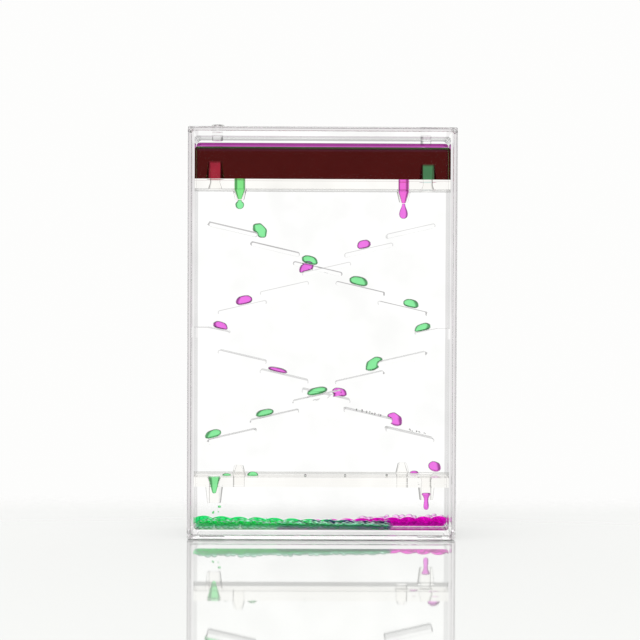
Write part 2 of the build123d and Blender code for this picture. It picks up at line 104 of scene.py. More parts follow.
class NodeBoard:
    """A node tree with short calls for adding and joining its nodes."""

    def __init__(self, tree: bpy.types.NodeTree) -> None:
        """Take hold of a tree.

        Args:
            tree: The tree that the nodes go into.
        """
        self.tree = tree

    def add(self, kind: str, values: dict | None = None, **settings: object) -> bpy.types.Node:
        """Add a node.

        Args:
            kind: Blender's name of the node's type.
            values: What goes into its inputs.
            **settings: Values of the node's own properties.

        Returns:
            The new node.
        """
        node = self.tree.nodes.new(kind)
        for key, value in settings.items():
            setattr(node, key, value)
        self.feed(node, values or {})
        return node

    def feed(self, node: bpy.types.Node, values: dict) -> None:
        """Fill a node's inputs.

        Args:
            node: The node.
            values: An output to join or a value to set, by the input's name or number.
        """
        for title, value in values.items():
            if isinstance(value, bpy.types.NodeSocket):
                self.join(value, node.inputs[title])
            else:
                node.inputs[title].default_value = value

    def join(self, source: bpy.types.NodeSocket, target: bpy.types.NodeSocket) -> None:
        """Join an output to an input."""
        self.tree.links.new(source, target)

    def math(self, operation: str, *values: Value) -> bpy.types.NodeSocket:
        """Add a math node on numbers or outputs and give its output."""
        return self.add("ShaderNodeMath", dict(enumerate(values)), operation=operation).outputs[0]

    def vector(self, operation: str, values: dict) -> bpy.types.NodeSocket:
        """Add a vector math node and give its output."""
        return self.add("ShaderNodeVectorMath", values, operation=operation).outputs[0]

    def mix(self, factor: Value, one: object, two: object, kind: str = "RGBA",
            blend: str = "MIX") -> bpy.types.NodeSocket:
        """Add a mix of two colours or numbers.

        Args:
            factor: The share of the second.
            one: The first, as an output or a value.
            two: The second.
            kind: What is mixed, in Blender's terms.
            blend: The way in which colours are mixed.

        Returns:
            The mix's output.
        """
        node = self.add("ShaderNodeMix", data_type=kind, blend_type=blend)
        self.feed(node, {"Factor": factor, "A": one, "B": two})
        return node.outputs["Result"]

    def ramp(self, source: bpy.types.NodeSocket, stops: tuple) -> bpy.types.NodeSocket:
        """Add a grey curve through the given stops.

        Args:
            source: The output that is looked up.
            stops: Pairs of place and level, in rising order of place.

        Returns:
            The output of the curve.
        """
        node = self.add("ShaderNodeValToRGB", {0: source})
        node.color_ramp.interpolation = "EASE"
        elements = node.color_ramp.elements
        while len(elements) < len(stops):
            elements.new(0.5)
        for element, (place, level) in zip(elements, stops):
            element.position = place
            element.color = grey(level)
        return node.outputs["Color"]

    def rise(self, value: Value, low: Value, high: Value, start: float = 0.0,
             end: float = 1.0) -> bpy.types.NodeSocket:
        """Add a soft step: a number that goes from start to end while a value goes from low to high."""
        values = {"Value": value, "From Min": low, "From Max": high, "To Min": start, "To Max": end}
        return self.add("ShaderNodeMapRange", values, interpolation_type="SMOOTHSTEP").outputs["Result"]

    def place(self) -> bpy.types.NodeSocket:
        """Add the object's own coordinates."""
        return self.add("ShaderNodeTexCoord").outputs["Object"]

    def parts(self, source: bpy.types.NodeSocket) -> bpy.types.bpy_prop_collection:
        """Take a vector apart into X, Y and Z."""
        return self.add("ShaderNodeSeparateXYZ", {0: source}).outputs

    def with_painted_rim_shade(self, colour: bpy.types.NodeSocket, rim_shade: Colour, power: float) -> bpy.types.NodeSocket:
        """Add a painted shade: a darker tint where the surface turns away and is seen edge on.

        Args:
            colour: The tint of what is seen face on.
            rim_shade: The tint of what is seen edge on.
            power: How narrow the rim is.

        Returns:
            The tint.
        """
        # Painted shade: the colour turns to a darker tint where the surface is seen edge on.
        slant = self.add("ShaderNodeLayerWeight", {"Blend": EVEN_SLANT})
        return self.mix(self.math("POWER", slant.outputs["Facing"], power), colour, rgba(rim_shade))

    def group(self, recipe: "NodeRecipe", values: dict) -> bpy.types.NodeSocket:
        """Add a shader group with its inputs filled and give its output."""
        return self.add("ShaderNodeGroup", values, node_tree=recipe.tree()).outputs[0]


class NodeRecipe:
    """A node tree that is built once, under its own name."""

    name: str
    inputs: Sockets
    output: tuple[str, str]
    kind: str = "ShaderNodeTree"

    def tree(self) -> bpy.types.NodeTree:
        """Build the tree once.

        Returns:
            The tree.
        """
        found = bpy.data.node_groups.get(self.name)
        if found:
            return found
        made = bpy.data.node_groups.new(self.name, self.kind)
        for title, kind in self.inputs:
            made.interface.new_socket(title, in_out="INPUT", socket_type=f"NodeSocket{kind}")
        title, kind = self.output
        made.interface.new_socket(title, in_out="OUTPUT", socket_type=f"NodeSocket{kind}")
        board = NodeBoard(made)
        taken = board.add("NodeGroupInput")
        given = board.add("NodeGroupOutput")
        board.join(self.result(board, taken.outputs), given.inputs[title])
        return made

    def result(self, board: NodeBoard, taken: bpy.types.bpy_prop_collection) -> bpy.types.NodeSocket:
        """Lay the tree's nodes.

        Args:
            board: The tree's board.
            taken: The tree's inputs.

        Returns:
            The output that the tree gives.
        """
        raise NotImplementedError


@dataclass(frozen=True)
class TintGroup(NodeRecipe):
    """Shader group: a tint that drifts between two close colours, as in moulded plastic or liquid."""

    name: str = "drifting_tint"
    inputs: Sockets = (("Main", "Color"), ("Drift", "Color"), ("Scale", "Float"))
    output: tuple[str, str] = ("Colour", "Color")
    detail: float = 2.0
    contrast: tuple = ((0.35, 0.0), (0.65, 1.0))

    def result(self, board: NodeBoard, taken: bpy.types.bpy_prop_collection) -> bpy.types.NodeSocket:
        """Mix both colours by a noise in the object's coordinates.

        Args:
            board: The tree's board.
            taken: The tree's inputs.

        Returns:
            The tint.
        """
        noise = board.add("ShaderNodeTexNoise",
                          {"Vector": board.place(), "Scale": taken["Scale"], "Detail": self.detail})
        return board.mix(board.ramp(noise.outputs["Fac"], self.contrast), taken["Main"], taken["Drift"])


@dataclass(frozen=True)
class WaveGroup(NodeRecipe):
    """Shader group: the height of the faint waves that moulding leaves."""

    name: str = "faint_waves"
    inputs: Sockets = (("Scale", "Float"),)
    output: tuple[str, str] = ("Height", "Float")
    detail: float = 1.0

    def result(self, board: NodeBoard, taken: bpy.types.bpy_prop_collection) -> bpy.types.NodeSocket:
        """Take the height from a noise in the object's coordinates.

        Args:
            board: The tree's board.
            taken: The tree's inputs.

        Returns:
            The height.
        """
        noise = board.add("ShaderNodeTexNoise",
                          {"Vector": board.place(), "Scale": taken["Scale"], "Detail": self.detail})
        return noise.outputs["Fac"]


@dataclass(frozen=True)
class DepthGroup(NodeRecipe):
    """Shader group: a colour that changes from one height of the object to another."""

    name: str = "tint_by_height"
    inputs: Sockets = (("Below", "Color"), ("Above", "Color"), ("Low", "Float"), ("High", "Float"))
    output: tuple[str, str] = ("Colour", "Color")

    def result(self, board: NodeBoard, taken: bpy.types.bpy_prop_collection) -> bpy.types.NodeSocket:
        """Mix both colours by height."""
        share = board.rise(board.parts(board.place())["Z"], taken["Low"], taken["High"])
        return board.mix(share, taken["Below"], taken["Above"])


@dataclass(frozen=True)
class WindowGroup(NodeRecipe):
    """Shader group: a colour that gives way to another in an upright column, as round a tube in a pool."""

    name: str = "column_window"
    inputs: Sockets = (("Around", "Color"), ("Within", "Color"), ("Middle", "Float"), ("Half Width", "Float"),
                       ("Top", "Float"), ("Softness", "Float"))
    output: tuple[str, str] = ("Colour", "Color")

    def result(self, board: NodeBoard, taken: bpy.types.bpy_prop_collection) -> bpy.types.NodeSocket:
        """Mix both colours by the distance from the column's middle and by height.

        Args:
            board: The tree's board.
            taken: The tree's inputs.

        Returns:
            The colour.
        """
        spot = board.parts(board.place())
        aside = board.math("ABSOLUTE", board.math("SUBTRACT", spot["X"], taken["Middle"]))
        masks = []
        for value, border in ((aside, "Half Width"), (spot["Z"], "Top")):
            far = board.math("ADD", taken[border], taken["Softness"])
            masks.append(board.rise(value, taken[border], far, 1.0, 0.0))
        return board.mix(board.math("MULTIPLY", *masks), taken["Around"], taken["Within"])


@dataclass(frozen=True)
class Window:
    """The column of a pool in which its return tube stands."""

    tint: Colour
    middle: float
    half_width: float = 1.7 * MM
    top: float = 126.2 * MM
    softness: float = 0.5 * MM


class Finish:
    """A material that is built once, under its own name."""

    name: str

    def material(self) -> bpy.types.Material:
        """Build the material once.

        Returns:
            The material.
        """
        found = bpy.data.materials.get(self.name)
        if found:
            return found
        made = bpy.data.materials.new(self.name)
        made.use_nodes = True
        nodes = made.node_tree.nodes
        self.wire(NodeBoard(made.node_tree), nodes["Principled BSDF"], nodes["Material Output"])
        return made

    def wire(self, board: NodeBoard, shader: bpy.types.Node, out: bpy.types.Node) -> None:
        """Lay the material's nodes.

        Args:
            board: The material's board.
            shader: Its Principled shader.
            out: Its output node.
        """
        raise NotImplementedError


@dataclass(frozen=True)
class ClearFinish(Finish):
    """A clear surface: plastic, oil or an air bubble, by its index against what touches it."""

    name: str
    index: float
    tint: Colour
    drift: Colour
    # Painted shade: the darker tint of what is seen edge on, for the dark outlines of clear parts.
    rim_shade: Colour
    rim_shade_power: float = 3.0
    mirror: float = 1.0
    # Painted shade: the grey that the face takes beyond the pockets' outline.
    border: Colour | None = None
    cloud_scale: float = 40.0
    wave_scale: float = 60.0
    wave_strength: float = 0.0

    def wire(self, board: NodeBoard, shader: bpy.types.Node, out: bpy.types.Node) -> None:
        """Join the tint, its painted edge-on shade, its painted grey band beyond the pockets if any, and the
        waves to the shader.

        Args:
            board: The material's board.
            shader: Its Principled shader.
            out: Its output node; not used.
        """
        board.feed(shader, {"IOR": self.index, "Roughness": POLISHED, "Specular Tint": grey(self.mirror),
                            "Transmission Weight": 1.0})
        tint = board.group(TintGroup(), {"Main": rgba(self.tint), "Drift": rgba(self.drift),
                                         "Scale": self.cloud_scale})
        # Painted shade: the colour darkens where the surface is seen edge on.
        colour = board.with_painted_rim_shade(tint, self.rim_shade, self.rim_shade_power)
        # Painted shade: beyond the pockets' outline, at the walls and top, the face turns grey.
        if self.border:
            colour = board.group(WindowGroup(), {
                "Around": rgba(self.border), "Within": colour, "Middle": 0.0, "Half Width": EDGE_SHADE_HALF_WIDTH,
                "Top": EDGE_SHADE_TOP, "Softness": EDGE_SHADE_SOFTNESS})
        board.join(colour, shader.inputs["Base Color"])
        if self.wave_strength > 0:
            waves = board.group(WaveGroup(), {"Scale": self.wave_scale})
            bump = board.add("ShaderNodeBump",
                             {"Strength": self.wave_strength, "Distance": MM, "Height": waves})
            board.join(bump.outputs["Normal"], shader.inputs["Normal"])


@dataclass(frozen=True)
class BondFinish(Finish):
    """Two faces bonded without a gap, which light passes as if they weren't there."""

    name: str = "bonded joint"
    drift: float = 0.985
    cloud_scale: float = 90.0

    def wire(self, board: NodeBoard, shader: bpy.types.Node, out: bpy.types.Node) -> None:
        """Let a transparent shader stand in for the Principled one.

        Args:
            board: The material's board.
            shader: Its Principled shader.
            out: Its output node.
        """
        board.tree.nodes.remove(shader)
        tint = board.group(TintGroup(), {"Main": rgba(WHITE), "Drift": grey(self.drift),
                                         "Scale": self.cloud_scale})
        clear = board.add("ShaderNodeBsdfTransparent", {"Color": tint})
        board.join(clear.outputs["BSDF"], out.inputs["Surface"])


@dataclass(frozen=True)
class DyeFinish(Finish):
    """Dyed water in oil: its colour thins below a height, and it is painted darker where seen edge on, as
    painted shade for its dark outline.
    """

    name: str
    thin: Colour
    deep: Colour
    # Painted shade: the darker tint of what is seen edge on, for the dark outlines of drops and pools.
    rim_shade: Colour
    low: float = -1.0
    high: float = -0.9
    index: float = WATER_IN_OIL
    rim_shade_power: float = 4.0
    drift: float = 0.94
    cloud_scale: float = 260.0
    top: Colour | None = None
    top_low: float = 131.5 * MM
    top_high: float = 131.9 * MM
    window: Window | None = None

    def wire(self, board: NodeBoard, shader: bpy.types.Node, out: bpy.types.Node) -> None:
        """Join the colour by height, the tube's window, the drift and the painted edge-on shade to the
        shader.

        Args:
            board: The material's board.
            shader: Its Principled shader.
            out: Its output node; not used.
        """
        board.feed(shader, {"IOR": self.index, "Roughness": POLISHED, "Transmission Weight": 1.0})
        colour = board.group(DepthGroup(), {"Below": rgba(self.thin), "Above": rgba(self.deep),
                                            "Low": self.low, "High": self.high})
        if self.top:
            colour = board.group(DepthGroup(), {"Below": colour, "Above": rgba(self.top),
                                                "Low": self.top_low, "High": self.top_high})
        if self.window:
            colour = board.group(WindowGroup(), {
                "Around": colour, "Within": rgba(self.window.tint), "Middle": self.window.middle,
                "Half Width": self.window.half_width, "Top": self.window.top,
                "Softness": self.window.softness})
        cloud = board.group(TintGroup(), {"Main": rgba(WHITE), "Drift": grey(self.drift),
                                          "Scale": self.cloud_scale})
        shade = board.mix(1.0, colour, cloud, blend="MULTIPLY")
        # Painted shade: the colour darkens where the surface is seen edge on.
        board.join(board.with_painted_rim_shade(shade, self.rim_shade, self.rim_shade_power), shader.inputs["Base Color"])


@dataclass(frozen=True)
class TableFinish(Finish):
    """The glossy white of the table, which gives way to the backdrop behind the timer."""

    name: str = "glossy white table"
    white: Colour = (0.90, 0.91, 0.895)
    roughness: float = 0.03
    index: float = 1.55
    metal: float = 0.5
    edge: float = 0.045
    fade: float = 0.06

    def wire(self, board: NodeBoard, shader: bpy.types.Node, out: bpy.types.Node) -> None:
        """Mix the shader with a transparent one by the distance along Y.

        Args:
            board: The material's board.
            shader: Its Principled shader.
            out: Its output node.
        """
        board.feed(shader, {"Base Color": rgba(self.white), "Roughness": self.roughness, "IOR": self.index,
                            "Metallic": self.metal})
        share = board.rise(board.parts(board.place())["Y"], self.edge, self.edge + self.fade)
        clear = board.add("ShaderNodeBsdfTransparent")
        blend = board.add("ShaderNodeMixShader",
                          {0: share, 1: shader.outputs["BSDF"], 2: clear.outputs["BSDF"]})
        board.join(blend.outputs[0], out.inputs["Surface"])


# In each clear finish the fifth value is a painted shade: the darker tint it takes where seen edge on.
CASE_FACE = ClearFinish("clear case plastic, open face", PLASTIC_IN_AIR, (0.998, 0.998, 0.998),
                        (0.99, 0.99, 0.991), (0.86, 0.85, 0.86), rim_shade_power=5.0, mirror=0.0,
                        # Painted shade: the grey of the open face beyond the pockets' outline.
                        border=(0.77, 0.75, 0.76), wave_strength=0.004)
CASE_EDGE = ClearFinish("clear case plastic, edge", PLASTIC_IN_AIR, (0.985, 0.985, 0.985),
                        (0.97, 0.97, 0.972), (0.80, 0.78, 0.80))
TANK_EDGE = ClearFinish("clear tank plastic, edge", PLASTIC_IN_AIR, (0.985, 0.985, 0.985),
                        (0.97, 0.97, 0.97), (0.80, 0.78, 0.80))
TANK_WETTED = ClearFinish("tank plastic in oil", PLASTIC_IN_OIL, (0.998, 0.998, 0.998),
                          (0.992, 0.992, 0.992), (0.14, 0.13, 0.14), rim_shade_power=5.0, mirror=0.35)
# Painted shade: clear plastic tinted dark grey on the ramps' rounded free edges, for the dark lines those
# edges show; lighter on the rear ramps.
FRONT_RAMP_EDGE_SHADE = ClearFinish("rounded free edge of a ramp", PLASTIC_IN_OIL, (0.22, 0.215, 0.22),
                        (0.32, 0.31, 0.32), (0.14, 0.13, 0.14), mirror=0.35)
REAR_RAMP_EDGE_SHADE = ClearFinish("rounded free edge of a rear ramp", PLASTIC_IN_OIL, (0.45, 0.44, 0.45),
                             (0.56, 0.55, 0.56), (0.3, 0.29, 0.3), mirror=0.35)
BAFFLE_WETTED = ClearFinish("baffle plastic in oil", THIN_PLASTIC_IN_OIL, (0.99, 0.985, 0.975),
                            (0.98, 0.973, 0.96), (0.85, 0.83, 0.80), rim_shade_power=5.0, mirror=0.6)
STOPPER_CLEAR = ClearFinish("clear stopper plastic", PLASTIC_IN_AIR, (0.985, 0.975, 0.965),
                            (0.97, 0.955, 0.95), (0.75, 0.70, 0.70))
OIL_CLEAR = ClearFinish("clear oil", SAME_IN_OIL, WHITE, (0.998, 0.999, 0.997), (0.99, 0.99, 0.99))
# Painted shade: the air bubbles are tinted grey and darken edge on, for their dark look in oil.
BUBBLE_AIR = ClearFinish("air bubble in oil", AIR_IN_OIL, (0.93, 0.93, 0.93), (0.88, 0.88, 0.88),
                         (0.2, 0.2, 0.2), rim_shade_power=1.5)
BOND = BondFinish()


@dataclass(frozen=True)
class Dyes:
    """The finishes of one dyed liquid: the pool, the free drops, the heap's drops and the bed below them."""

    pool: DyeFinish
    drop: DyeFinish
    heap: DyeFinish
    bed: DyeFinish


POOL_THIN_BELOW = 120.4 * MM
POOL_DEEP_ABOVE = 121.0 * MM
RETURN_X = 36.2 * MM
# In each dye finish the third colour is a painted shade: the darker tint it takes where seen edge on.
DYES = {
    Dye.GREEN: Dyes(
        pool=DyeFinish("green water in the pool", (0.24, 0.84, 0.28), (0.17, 0.28, 0.13), (0.02, 0.30, 0.05),
                       POOL_THIN_BELOW, POOL_DEEP_ABOVE, window=Window((0.92, 0.94, 0.92), -RETURN_X)),
        drop=DyeFinish("green drop", (0.28, 0.88, 0.38), (0.28, 0.88, 0.38), (0.02, 0.28, 0.05),
                       rim_shade_power=3.0),
        heap=DyeFinish("green drops in the heap", (0.60, 1.0, 0.80), (0.60, 1.0, 0.80), (0.02, 0.50, 0.18),
                       rim_shade_power=3.2, drift=0.98),
        bed=DyeFinish("green water under the heap", (0.04, 0.90, 0.24), (0.04, 0.90, 0.24),
                      (0.02, 0.7, 0.12)),
    ),
    Dye.PINK: Dyes(
        pool=DyeFinish("pink water in the pool", (0.92, 0.17, 0.76), (0.44, 0.03, 0.06), (0.50, 0.04, 0.30),
                       POOL_THIN_BELOW, POOL_DEEP_ABOVE, top=(0.56, 0.10, 0.50),
                       window=Window((0.67, 0.90, 0.90), RETURN_X)),
        drop=DyeFinish("pink drop", (0.90, 0.20, 0.83), (0.90, 0.20, 0.83), (0.36, 0.02, 0.28),
                       rim_shade_power=3.0),
        heap=DyeFinish("pink drops in the heap", (1.0, 0.60, 0.97), (1.0, 0.60, 0.97), (0.80, 0.04, 0.60),
                       rim_shade_power=3.2, drift=0.98),
        bed=DyeFinish("pink water under the heap", (1.0, 0.02, 0.74), (1.0, 0.02, 0.74), (0.8, 0.02, 0.6)),
    ),
}


class MeshBench:
    """Makes the meshes of the pieces and gives them their finishes."""

    @staticmethod
    def merged(node: str) -> bmesh.types.BMesh:
        """Copy a CAD node's mesh and merge its doubles.

        Args:
            node: The node's name.

        Returns:
            The merged copy.
        """
        made = bmesh.new()
        made.from_mesh(frame["nodes"][node].data)
        bmesh.ops.remove_doubles(made, verts=made.verts, dist=MERGE_REACH)
        return made

    @staticmethod
    def piece(shape: bmesh.types.BMesh, name: str, finishes: list, body: str, *nodes: str,
              slot: str | None = None, smooth: float = 30.0) -> bpy.types.Object:
        """Turn a mesh into a piece that rides on a body.

        Args:
            shape: The mesh, which is used up.
            name: The piece's name.
            finishes: Its finishes, in the order of the faces' material numbers.
            body: The CAD body that it rides on.
            *nodes: The CAD nodes that it stands for.
            slot: The record's material slot; not used.
            smooth: The angle in degrees up to which edges are shaded smooth.

        Returns:
            The piece.
        """
        mesh = bpy.data.meshes.new(name)
        MeshBench.edge_flats(shape, math.radians(smooth))
        shape.to_mesh(mesh)
        shape.free()
        return MeshBench.dressed(mesh, name, finishes, body, *nodes, slot=slot)

    @staticmethod
    def edge_flats(shape: bmesh.types.BMesh, smooth: float) -> None:
        """Mark the edges that stay sharp: the steep ones, and all round each flat face.

        Args:
            shape: The mesh.
            smooth: The angle in radians up to which curved faces shade smooth.
        """
        shape.normal_update()
        patch = [-1] * len(shape.faces)
        flat: list[bool] = []
        shape.faces.index_update()
        for seed in shape.faces:
            if patch[seed.index] >= 0:
                continue
            number, waiting, area, border = len(flat), [seed], 0.0, 0.0
            patch[seed.index] = number
            while waiting:
                face = waiting.pop()
                area += face.calc_area()
                for edge in face.edges:
                    near = [other for other in edge.link_faces if other is not face]
                    if len(near) == 1 and near[0].normal.dot(face.normal) > SAME_PLANE:
                        if patch[near[0].index] < 0:
                            patch[near[0].index] = number
                            waiting.append(near[0])
                    else:
                        border += edge.calc_length()
            flat.append(area > FLAT_WIDTH * border)
        for edge in shape.edges:
            if len(edge.link_faces) != 2:
                continue
            one, two = (patch[face.index] for face in edge.link_faces)
            steep = edge.calc_face_angle(0.0) > smooth
            edge.smooth = not (steep or (one != two and (flat[one] or flat[two])))

    @staticmethod
    def dressed(mesh: bpy.types.Mesh, name: str, finishes: list, body: str, *nodes: str,
                slot: str | None = None) -> bpy.types.Object:
        """Give a finished mesh its object, its finishes and its body.

        Args:
            mesh: The mesh, in the frame's own place.
            name: The piece's name.
            finishes: Its finishes.
            body: The CAD body that it rides on.
            *nodes: The CAD nodes that it stands for.
            slot: The record's material slot; not used.

        Returns:
            The piece.
        """
        piece = bpy.data.objects.new(name, mesh)
        bpy.context.scene.collection.objects.link(piece)
        for finish in finishes:
            mesh.materials.append(finish.material())
        mesh.polygons.foreach_set("use_smooth", [True] * len(mesh.polygons))
        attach(piece, body)
        if nodes:
            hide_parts(*nodes)
        log.info("%s: %d faces on %s", name, len(mesh.polygons), body)
        return piece

    @staticmethod
    def sort_faces(shape: bmesh.types.BMesh, rule: Callable[[Vector, Vector], int]) -> None:
        """Give each face the material number that a rule finds from its centre and normal.

        Args:
            shape: The mesh.
            rule: Finds the number.
        """
        shape.normal_update()
        for face in shape.faces:
            face.material_index = rule(face.calc_center_median(), face.normal)

    @staticmethod
    def cut(shape: bmesh.types.BMesh, point: Point, direction: Point) -> None:
        """Cut a mesh's faces along a plane, and keep both sides."""
        bmesh.ops.bisect_plane(shape, geom=shape.verts[:] + shape.edges[:] + shape.faces[:],
                               plane_co=point, plane_no=direction, dist=CUT_SLACK)

    @staticmethod
    def grown(name: str, recipe: NodeRecipe, values: dict[str, object]) -> bpy.types.Mesh:
        """Run a Geometry Nodes tree and give its result as a plain mesh.

        Args:
            name: The mesh's name.
            recipe: The tree.
            values: What goes into its inputs, by name.

        Returns:
            The mesh.
        """
        holder = bpy.data.objects.new(f"{name}_nodes", bpy.data.meshes.new(f"{name}_nodes"))
        bpy.context.scene.collection.objects.link(holder)
        tool = holder.modifiers.new(name, "NODES")
        tool.node_group = recipe.tree()
        for item in tool.node_group.interface.items_tree:
            if item.in_out == "INPUT" and item.name in values:
                tool[item.identifier] = values[item.name]
        return MeshBench.baked(holder, name)

    @staticmethod
    def baked(source: bpy.types.Object, name: str) -> bpy.types.Mesh:
        """Turn an object with live modifiers into a plain mesh and remove the object.

        Args:
            source: The object, whose mesh is in the frame's own place.
            name: The new mesh's name.

        Returns:
            The mesh.
        """
        graph = bpy.context.evaluated_depsgraph_get()
        graph.update()
        mesh = bpy.data.meshes.new_from_object(source.evaluated_get(graph), depsgraph=graph)
        mesh.name = name
        source.modifiers.clear()
        bpy.data.objects.remove(source)
        return mesh


class StopperHole:
    """The filling hole through case and tank, whose stopper fits so tightly that its wall doesn't show."""

    PLACE_X = 35.4 * MM
    PLACE_Y = 6.9 * MM
    RADIUS = 2.4 * MM
    LOW = 130.0 * MM
    UPRIGHT = 0.5

    @classmethod
    def holds(cls, centre: Vector, normal: Vector) -> bool:
        """Tell whether a face belongs to the wall of a filling hole.

        Args:
            centre: The face's centre.
            normal: The face's normal.

        Returns:
            True for a face of the hole's wall.
        """
        aside = math.hypot(abs(centre.x) - cls.PLACE_X, abs(centre.y) - cls.PLACE_Y)
        return aside < cls.RADIUS and centre.z > cls.LOW and abs(normal.z) < cls.UPRIGHT


@dataclass
class Case:
    """The outer case: two half shells, bonded along the seam, and the stoppers in its top."""

    seam_band: float = 0.02 * MM
    wall: float = 1.2 * MM
    height: float = 138.0 * MM
    pad_height: float = 0.3 * MM
    pad_slack: float = 0.03 * MM
    inner_face: float = 14.8 * MM

    def build(self) -> None:
        """Make both shells and both stoppers."""
        for side in Side:
            self.shell(side)
            self.stopper(side)

    def shell(self, side: Side) -> None:
        """Make one shell, whose pads end just off the tank so that their faces don't share its plane.

        Args:
            side: The side of the seam that the shell is on.
        """
        node = f"case_{side.name.lower()}_shell"
        shape = MeshBench.merged(node)
        low, high = self.wall + self.pad_height, self.height - self.wall - self.pad_height
        for vertex in shape.verts:
            if abs(vertex.co.z - low) < self.seam_band:
                vertex.co.z -= self.pad_slack
            elif abs(vertex.co.z - high) < self.seam_band:
                vertex.co.z += self.pad_slack
        MeshBench.sort_faces(shape, self.face_kind)
        MeshBench.piece(shape, f"{node}_clear", [CASE_EDGE, CASE_FACE, BOND], TIMER_BODY, node, slot="case")

    def face_kind(self, centre: Vector, normal: Vector) -> int:
        """Tell an edge or end, 0, an open face, 1, and a bonded or close-lying face, 2, apart.

        Args:
            centre: The face's centre.
            normal: The face's normal.

        Returns:
            The number of the face's finish.
        """
        if StopperHole.holds(centre, normal):
            return 2
        if abs(normal.y) < FACING:
            return 0
        if abs(centre.y) < self.seam_band or abs(abs(centre.y) - self.inner_face) < self.seam_band:
            return 2
        return 1

    def stopper(self, side: Side) -> None:
        """Make one stopper.

        Args:
            side: The compartment that it closes.
        """
        node = f"{side.name.lower()}_fill_stopper"
        shape = MeshBench.merged(node)
        MeshBench.cut(shape, (0, 0, Tank.pocket_high), (0, 0, 1))
        MeshBench.sort_faces(shape, self.stopper_face_kind)
        MeshBench.piece(shape, f"{node}_clear", [STOPPER_CLEAR, TANK_WETTED, BOND], TIMER_BODY, node,
                        slot="stopper")

    def stopper_face_kind(self, centre: Vector, normal: Vector) -> int:
        """Tell a stopper's head in air, 0, its wetted end, 1, and its pressed-in stem, 2, apart.

        Args:
            centre: The face's centre.
            normal: The face's normal; not used.

        Returns:
            The number of the face's finish.
        """
        if centre.z < Tank.pocket_high:
            return 1
        return 0 if centre.z > self.height + self.seam_band else 2


